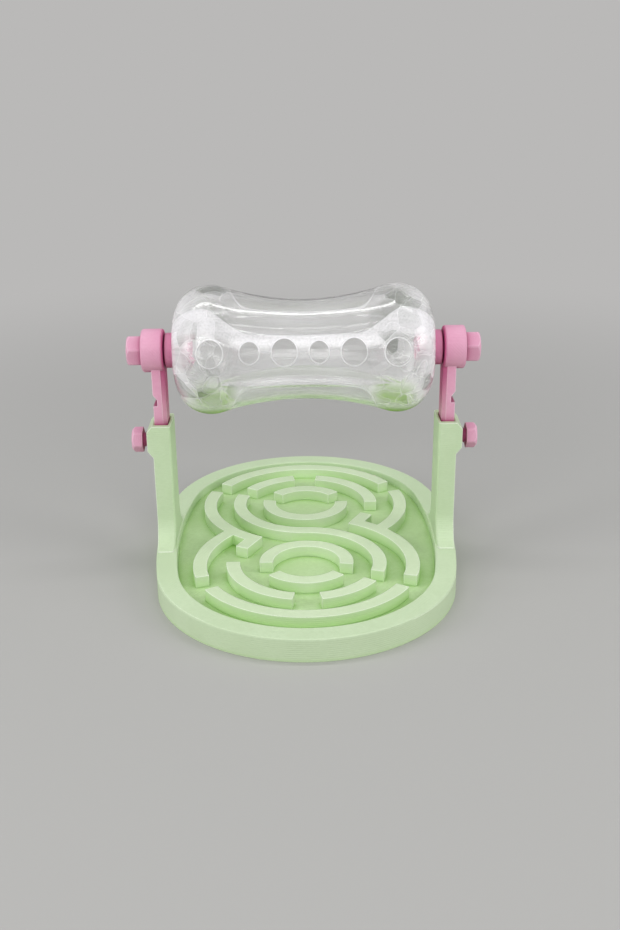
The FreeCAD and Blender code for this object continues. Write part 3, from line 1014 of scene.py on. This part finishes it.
@dataclass(frozen=True)
class StudioSweep:
    """Pale painted studio floor, which fades into the plain background away from the object."""

    name: str = "pale_studio_floor"
    colour: str = "#B4B3B0"
    background: str = "#BAB9B8"
    fade_start: float = 0.12
    fade_end: float = 0.8
    mottle_size: float = 60 * MM
    roughness_low: float = 0.7
    roughness_high: float = 0.85

    def material(self) -> bpy.types.Material:
        """Build the floor's finish.

        Returns:
            The finished material.
        """
        material, tree = empty_material(self.name)
        place = add_node(tree, "ShaderNodeTexCoord").outputs["Object"]
        reach = add_node(tree, "ShaderNodeVectorMath", {0: place}, operation="LENGTH")
        fade = add_node(
            tree,
            "ShaderNodeMapRange",
            {
                "Value": reach.outputs["Value"],
                "From Min": self.fade_start,
                "From Max": self.fade_end,
            },
            interpolation_type="SMOOTHSTEP",
        )
        mottle = add_node(
            tree,
            "ShaderNodeTexNoise",
            {"Vector": place, "Scale": 1 / self.mottle_size, "Detail": 3.0},
        )
        roughness = add_node(
            tree,
            "ShaderNodeMapRange",
            {"Value": mottle, "To Min": self.roughness_low, "To Max": self.roughness_high},
        )
        paint = add_node(
            tree,
            "ShaderNodeBsdfPrincipled",
            {"Base Color": linear_colour(self.colour), "Roughness": roughness},
        )
        glow = add_node(
            tree, "ShaderNodeEmission", {"Color": linear_colour(self.background), "Strength": 1.0}
        )
        far = add_node(tree, "ShaderNodeMath", {0: fade, 1: seen_rays(tree)}, operation="MULTIPLY")
        mixed = add_node(tree, "ShaderNodeMixShader", {0: far, 1: paint, 2: glow})
        add_node(tree, "ShaderNodeOutputMaterial", {"Surface": mixed})
        return material


def seen_rays(tree: Tree) -> Socket:
    """Camera rays, and rays that reach something in a reflection or through clear plastic.

    Args:
        tree: The nodes of a floor or world.

    Returns:
        1 for those rays, 0 for the rays that light the object.
    """
    path = add_node(tree, "ShaderNodeLightPath")
    mirrored = add_node(
        tree,
        "ShaderNodeMath",
        {0: path.outputs["Is Glossy Ray"], 1: path.outputs["Is Transmission Ray"]},
        operation="MAXIMUM",
    )
    seen = add_node(
        tree, "ShaderNodeMath", {0: path.outputs["Is Camera Ray"], 1: mirrored}, operation="MAXIMUM"
    )
    return seen.outputs["Value"]


def pink_print(name: str, axis: PrintAxis) -> PrintedPla:
    """The finish of every part that carries or clamps the roller.

    Args:
        name: The material's name.
        axis: The way the part was turned on the printer's bed.

    Returns:
        The finish.
    """
    return PrintedPla(
        name,
        colour="#E7ADC6",
        shade_colour="#E2A3BE",
        # Painted shade in the corners, reaching further than on the green parts.
        corner_shade_colour="#A8406F",
        # Painted highlight along the edges.
        edge_highlight_colour="#F8D8E5",
        axis=axis,
        corner_shade_reach=16 * MM,
        corner_shade_full=0.42,
        corner_shade_end=0.96,
    )


# Pieces


def dress_nodes(
    frame: dict[str, Any], names: tuple[str, ...], finish: PrintedPla | ClearPetg
) -> list[bpy.types.Object]:
    """Give some of the frame's nodes one finish in place of what they came with.

    Args:
        names: The nodes' names.
        finish: Their finish.

    Returns:
        The dressed nodes.
    """
    material = finish.material()
    pieces = [frame["nodes"][name] for name in names]
    for piece in pieces:
        piece.data.materials.clear()
        piece.data.materials.append(material)
    return pieces


def new_piece(name: str, mesh: bmesh.types.BMesh, material: bpy.types.Material) -> bpy.types.Object:
    """Turn a finished bmesh into a smooth-shaded object at the origin.

    Args:
        name: The piece's name.
        mesh: Its shape. It is freed here.
        material: Its finish.

    Returns:
        The new object.
    """
    data = bpy.data.meshes.new(name)
    mesh.to_mesh(data)
    mesh.free()
    data.shade_smooth()
    data.materials.append(material)
    piece = bpy.data.objects.new(name, data)
    bpy.context.scene.collection.objects.link(piece)
    return piece


# The object's sub-assemblies


@dataclass
class Tray:
    """The oval tray with its maze and the two uprights, all green prints standing on their base."""

    colour: str = "#D2E3BF"
    shade_colour: str = "#CCDFB8"
    # Painted shade in the walls' tight corners.
    corner_shade_colour: str = "#BCE096"
    # Painted highlight along the walls' edges.
    edge_highlight_colour: str = "#EFF9E3"
    # The floor between the walls is painted deeper all over: painted shade, standing in for the
    # light that comes back from the walls.
    floor_shaded_colour: str = "#C1DBA7"
    floor_shaded_mottle: str = "#B7D39A"
    floor_corner_shade: str = "#7DB23C"
    # The rim and the uprights stand free, so only their tightest corners get painted shade. Their
    # colours are a little darker than the walls': painted shade too.
    rim_shaded_colour: str = "#CCDFBA"
    rim_shaded_mottle: str = "#C6DAB3"
    rim_corner_shade_reach: float = 5 * MM
    floor_nodes: tuple[str, ...] = ("tray_floor",)
    rim_nodes: tuple[str, ...] = ("tray_rim", "upright_left", "upright_right")
    wall_nodes: tuple[str, ...] = (
        "maze_inner_front",
        "maze_inner_back",
        "maze_middle_front",
        "maze_middle_back",
        "maze_s_wall",
        "maze_outer_right",
        "maze_outer_left",
        "maze_outer_front",
        "maze_outer_back",
    )

    def build(self, frame: dict[str, Any]) -> list[bpy.types.Object]:
        """Dress the tray's nodes.


        Returns:
            The dressed nodes.
        """
        walls = PrintedPla(
            "green_matte_pla",
            self.colour,
            self.shade_colour,
            self.corner_shade_colour,
            self.edge_highlight_colour,
            PrintAxis.Z,
        )
        # The rim: the walls' finish, a little darker as painted shade.
        rim = replace(
            walls,
            name="green_matte_pla_rim",
            colour=self.rim_shaded_colour,
            shade_colour=self.rim_shaded_mottle,
            corner_shade_reach=self.rim_corner_shade_reach,
        )
        # The floor: the walls' finish with painted shade in its colours.
        floor = replace(
            walls,
            name="green_matte_pla_floor",
            colour=self.floor_shaded_colour,
            shade_colour=self.floor_shaded_mottle,
            corner_shade_colour=self.floor_corner_shade,
        )
        return [
            *dress_nodes(frame, self.floor_nodes, floor),
            *dress_nodes(frame, self.wall_nodes, walls),
            *dress_nodes(frame, self.rim_nodes, rim),
        ]


@dataclass
class PinkPrints:
    """Some of the pink prints that carry or clamp the roller, all laid the same way on the bed."""

    nodes: tuple[str, ...]
    finish: PrintedPla

    def build(self, frame: dict[str, Any]) -> list[bpy.types.Object]:
        """Dress the prints and return them."""
        return dress_nodes(frame, self.nodes, self.finish)


@dataclass
class Posts(PinkPrints):
    """The two notched posts, which were laid flat on the bed."""

    nodes: tuple[str, ...] = ("post_left", "post_right")
    finish: PrintedPla = pink_print("pink_matte_pla_flat", PrintAxis.Y)


@dataclass
class TurnedParts(PinkPrints):
    """Height screws, axle bolts and end plugs, which stood on their heads."""

    finish: PrintedPla = pink_print("pink_matte_pla_upright", PrintAxis.X)
    nodes: tuple[str, ...] = (
        "height_screw_left",
        "height_screw_right",
        "axle_bolt_left",
        "axle_bolt_right",
        "end_plug_left",
        "end_plug_right",
    )


class Side(Enum):
    """A side of the object, seen from the front, with the way outwards along X."""

    LEFT = -1
    RIGHT = 1


@dataclass
class ScrewThreads:
    """The turns of thread that show on each height screw, between its head and the upright."""

    head_length: float = 6.2 * MM
    shank_radius: float = 3.9 * MM
    pitch: float = 1.25 * MM
    ridge: float = 0.55 * MM
    half_width: float = 0.42 * MM
    # The ridge starts this far inside the shank, so that no gap shows.
    sink: float = 0.1 * MM
    # The space left to the head and to the upright.
    gap: float = 0.1 * MM
    steps_per_turn: int = 48

    def build(self, frame: dict[str, Any]) -> list[bpy.types.Object]:
        """Make both threads, in the screws' own finish."""
        screw_finish = frame["nodes"]["height_screw_left"].data.materials[0]
        return [self.thread(side, screw_finish) for side in Side]

    def thread(self, side: Side, finish: bpy.types.Material) -> bpy.types.Object:
        """One thread ridge, wound between the screw's head and the upright.

        Args:
            side: The screw's side.
            finish: The screw's own material.

        Returns:
            The thread.
        """
        name = side.name.lower()
        screw_low, screw_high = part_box(f"height_screw_{name}")
        upright_low, upright_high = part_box(f"upright_{name}")
        wall_x = max(upright_high.x, -upright_low.x)
        head_x = max(screw_high.x, -screw_low.x) - self.head_length
        start_x = wall_x + self.gap + self.half_width
        end_x = head_x - self.gap - self.half_width
        turns = (end_x - start_x) / self.pitch
        steps = round(turns * self.steps_per_turn)
        foot_radius = self.shank_radius - self.sink
        profile = (
            (start_x - self.half_width, foot_radius),
            (start_x, self.shank_radius + self.ridge),
            (start_x + self.half_width, foot_radius),
        )
        mesh = bmesh.new()
        face = mesh.faces.new([mesh.verts.new((x, 0.0, radius)) for x, radius in profile])
        bmesh.ops.spin(
            mesh,
            geom=[face, *face.edges, *face.verts],
            cent=(0.0, 0.0, 0.0),
            axis=(1.0, 0.0, 0.0),
            dvec=((end_x - start_x) / steps, 0.0, 0.0),
            angle=2 * math.pi * turns,
            steps=steps,
            use_merge=False,
            use_duplicate=False,
        )
        bmesh.ops.scale(mesh, vec=(side.value, 1.0, 1.0), verts=mesh.verts)
        axis_height = (screw_low.z + screw_high.z) / 2
        bmesh.ops.translate(mesh, vec=(0.0, 0.0, axis_height), verts=mesh.verts)
        bmesh.ops.recalc_face_normals(mesh, faces=mesh.faces)
        thread = new_piece(f"screw_thread_{name}", mesh, finish)
        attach(thread, f"{name}_screw")
        return thread


@dataclass
class Roller:
    """The clear dumbbell roller that holds the food."""

    node: str = "roller"

    def build(self, frame: dict[str, Any]) -> list[bpy.types.Object]:
        """Dress the roller.


        Returns:
            The dressed node.
        """
        low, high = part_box(self.node)
        finish = ClearPetg("clear_petg", axle_height=(low.z + high.z) / 2)
        return dress_nodes(frame, (self.node,), finish)


# The studio


@dataclass
class Softbox:
    """One large soft lamp."""

    name: str
    place: tuple[float, float, float]
    width: float
    height: float
    power: float
    target: tuple[float, float, float] = (0.0, 0.0, 0.06)

    def build(self) -> None:
        """Hang the lamp."""
        data = bpy.data.lights.new(self.name, "AREA")
        data.shape = "RECTANGLE"
        data.size = self.width
        data.size_y = self.height
        data.energy = self.power
        lamp = bpy.data.objects.new(self.name, data)
        lamp.location = self.place
        aim = Vector(self.target) - Vector(self.place)
        lamp.rotation_mode = "QUATERNION"
        lamp.rotation_quaternion = aim.to_track_quat("-Z", "Y")
        bpy.context.scene.collection.objects.link(lamp)


@dataclass
class Studio:
    """Floor, background, lamps and the camera at the photograph's angle."""

    sweep: StudioSweep = StudioSweep()
    floor_half_size: float = 4.0
    sky_light: str = "#EDF0F4"
    sky_strength: float = 0.34
    camera_place: tuple[float, float, float] = (-0.0023, -0.5866, 0.2891)
    camera_target: tuple[float, float, float] = (0.0029, 0.0, 0.0557)
    camera_roll_degrees: float = -0.6
    camera_near: float = 0.01
    camera_far: float = 20.0
    frame_height_pixels: float = 930.0
    focal_pixels: float = 1080.1

    def build(self) -> None:
        """Set up the whole studio."""
        self.lay_floor()
        self.paint_background()
        for lamp in self.lamps():
            lamp.build()
        self.place_camera()
        bpy.context.scene.view_settings.view_transform = "Standard"

    def lay_floor(self) -> None:
        """Lay the plain pale floor under the tray."""
        mesh = bmesh.new()
        bmesh.ops.create_grid(mesh, x_segments=1, y_segments=1, size=self.floor_half_size)
        floor = new_piece("studio_floor", mesh, self.sweep.material())

    def paint_background(self) -> None:
        """Show the plain background, and light the object from all sides more weakly."""
        world = bpy.data.worlds.new("studio_background")
        bpy.context.scene.world = world
        world.use_nodes = True
        tree = world.node_tree
        tree.nodes.clear()
        light = add_node(
            tree,
            "ShaderNodeBackground",
            {"Color": linear_colour(self.sky_light), "Strength": self.sky_strength},
        )
        shown = add_node(
            tree,
            "ShaderNodeBackground",
            {"Color": linear_colour(self.sweep.background), "Strength": 1.0},
        )
        mixed = add_node(tree, "ShaderNodeMixShader", {0: seen_rays(tree), 1: light, 2: shown})
        add_node(tree, "ShaderNodeOutputWorld", {"Surface": mixed})

    def lamps(self) -> list[Softbox]:
        """The studio's softboxes: one in front, one at each side and a long narrow one on top.

        Returns:
            The lamps, not yet built.
        """
        return [
            Softbox("key_softbox", (-0.1, -1.2, 0.75), width=1.4, height=0.42, power=7.2),
            Softbox("left_softbox", (-0.95, -0.35, 0.5), width=0.6, height=0.6, power=3.9),
            Softbox("right_softbox", (0.95, -0.35, 0.5), width=0.6, height=0.6, power=3.9),
            Softbox("top_softbox", (0.0, 0.2, 1.35), width=1.6, height=0.12, power=5.6),
        ]

    def place_camera(self) -> None:
        """Put the camera where the photograph was taken from."""
        data = bpy.data.cameras.new("photo_camera")
        data.lens = self.focal_pixels / self.frame_height_pixels * data.sensor_width
        data.clip_start = self.camera_near
        data.clip_end = self.camera_far
        camera = bpy.data.objects.new("photo_camera", data)
        camera.location = self.camera_place
        aim = Vector(self.camera_target) - Vector(self.camera_place)
        roll = Quaternion((0.0, 0.0, 1.0), math.radians(self.camera_roll_degrees))
        camera.rotation_mode = "QUATERNION"
        camera.rotation_quaternion = aim.to_track_quat("-Z", "Y") @ roll
        bpy.context.scene.collection.objects.link(camera)
        bpy.context.scene.camera = camera


def main() -> None:
    """Build the looks round the frame."""
    logging.basicConfig(level=logging.INFO, format="%(message)s")
    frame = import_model()
    for assembly in (Tray(), Posts(), TurnedParts(), ScrewThreads(), Roller()):
        for piece in assembly.build(frame):
            log.info("%s: %s", type(assembly).__name__, piece.name)
    Studio().build()


if __name__ == "__main__":
    main()
